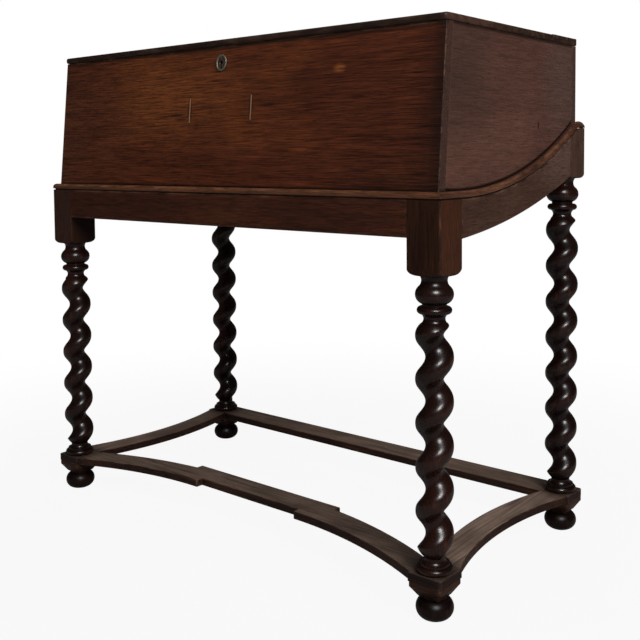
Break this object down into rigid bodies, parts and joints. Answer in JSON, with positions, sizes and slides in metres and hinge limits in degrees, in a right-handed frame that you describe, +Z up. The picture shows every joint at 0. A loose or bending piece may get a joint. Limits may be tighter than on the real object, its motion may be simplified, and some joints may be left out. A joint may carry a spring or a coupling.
{
  "type": "box on stand",
  "caption": "Slope-fronted oak box with a lift-up lid, set in a moulded stand on barley-twist legs with shaped flat stretchers and bun feet.",
  "frame": {"origin": "on the floor, under the middle of the stand", "axes": "+Z up, -Y out of the leaning front, +X to the right seen from the front"},
  "size_m": [0.806, 0.41, 0.7658],
  "materials": {
    "dark_oak": "old wax polish over dark stain, worn at the edges",
    "turned_oak": "near-black turned oak with a bright wax polish",
    "pale_slip": "pale unstained slip, planed flush",
    "old_iron": "tarnished grey, rubbed on the rims"
  },
  "bodies": {
    "stand": {"leg_front_left": "turned_oak", "leg_front_right": "turned_oak", "leg_back_left": "turned_oak", "leg_back_right": "turned_oak", "foot_front_left": "turned_oak", "foot_front_right": "turned_oak", "foot_back_left": "turned_oak", "foot_back_right": "turned_oak", "rail_front": "dark_oak", "rail_back": "dark_oak", "rail_left": "dark_oak", "rail_right": "dark_oak", "stretcher_front": "dark_oak", "stretcher_back": "dark_oak", "stretcher_left": "dark_oak", "stretcher_right": "dark_oak", "moulding_front": "dark_oak", "moulding_left": "dark_oak", "moulding_right": "dark_oak"},
    "box": {"front_board": "dark_oak", "back_board": "dark_oak", "side_board_left": "dark_oak", "side_board_right": "dark_oak", "bottom_stave_1": "dark_oak", "bottom_stave_2": "dark_oak", "bottom_stave_3": "dark_oak", "bottom_stave_4": "dark_oak", "bottom_stave_5": "dark_oak", "hinge_rail": "dark_oak", "front_slip_left": "pale_slip", "front_slip_right": "pale_slip", "front_nails": "old_iron", "back_nails": "old_iron", "hinge_rail_nails": "old_iron", "key_plate": "old_iron", "key_plate_pins": "old_iron", "lock_case": "old_iron", "lock_screws": "old_iron", "hinge_left_box_leaf": "old_iron", "hinge_left_pin": "old_iron", "hinge_right_box_leaf": "old_iron", "hinge_right_pin": "old_iron", "hinge_box_screws": "old_iron"},
    "lid": {"lid_front_board": "dark_oak", "lid_main_board": "dark_oak", "hinge_left_lid_leaf": "old_iron", "hinge_right_lid_leaf": "old_iron", "hinge_lid_screws": "old_iron", "lock_staple": "old_iron", "staple_screws": "old_iron"},
    "lock_bolt": {"lock_bolt": "old_iron"}
  },
  "joints": [
    {"name": "box_lift", "type": "slide", "parent": "stand", "child": "box", "axis": [0, 0, 1], "range_m": [0, 0.1]},
    {"name": "lid_hinge", "type": "hinge", "parent": "box", "child": "lid", "pos_m": [0, 0.1112, 0.7632], "axis": [-1, 0, 0], "range_deg": [0, 175]},
    {"name": "bolt_slide", "type": "slide", "parent": "box", "child": "lock_bolt", "axis": [1, 0, 0], "range_m": [0, 0.009]}
  ]
}
